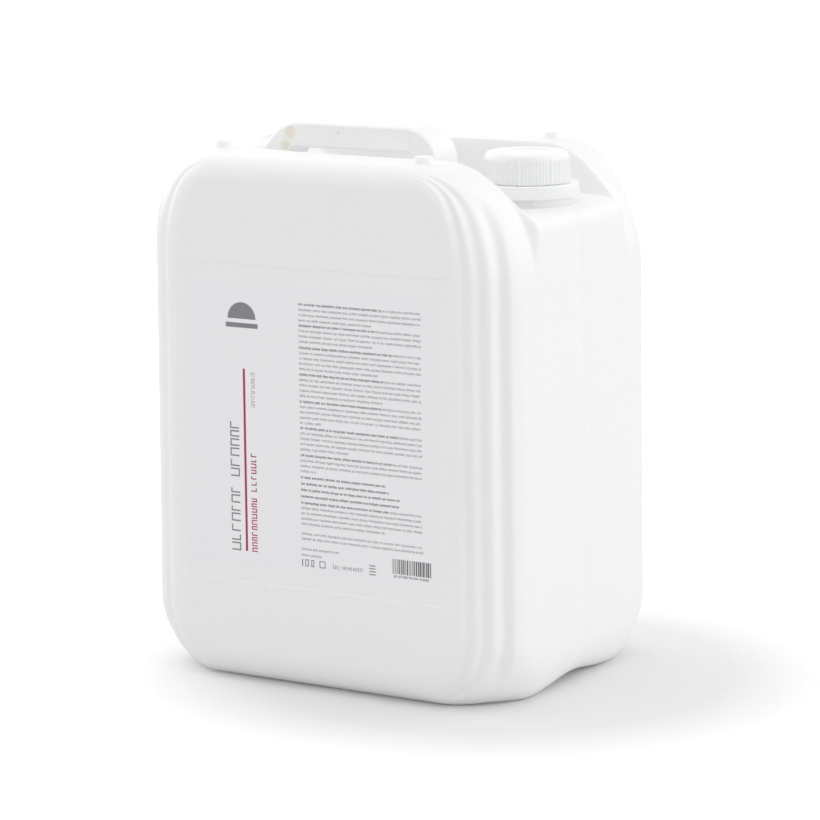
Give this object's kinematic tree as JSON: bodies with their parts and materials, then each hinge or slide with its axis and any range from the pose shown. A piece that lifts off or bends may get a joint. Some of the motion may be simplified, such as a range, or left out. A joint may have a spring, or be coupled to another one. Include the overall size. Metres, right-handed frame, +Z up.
{
  "type": "stackable plastic canister",
  "caption": "White blow-moulded stackable canister with bridge handle, ribbed screw cap on a threaded neck, tamper ring and front label.",
  "frame": {"origin": "centre of the outer box of the part, on the ground", "axes": "+Z up; +X towards the side with the neck; -Y towards the front face with the label"},
  "size_m": [0.2322, 0.185, 0.2993],
  "materials": {
    "can_plastic": "natural white HDPE, satin, slightly translucent",
    "cap_plastic": "white HDPE, satin",
    "liner_foam": "white foamed polyethylene",
    "label_film": "printed film, semi-matt"
  },
  "bodies": {
    "can": {"can_body": "can_plastic", "tamper_ring": "cap_plastic", "front_label": "label_film"},
    "liner": {"cap_liner": "liner_foam"},
    "cap": {"screw_cap": "cap_plastic"}
  },
  "joints": [
    {"name": "cap_rise", "type": "slide", "parent": "can", "child": "liner", "axis": [0, 0, 1], "range_m": [0, 0.0101]},
    {"name": "cap_turn", "type": "hinge", "parent": "liner", "child": "cap", "pos_m": [0.0803, 0, 0.28], "axis": [0, 0, 1], "range_deg": [0, 900]}
  ],
  "couplings": [
    {"joint": "cap_rise", "follows": "cap_turn", "m_per_rad": 0.00063662}
  ]
}
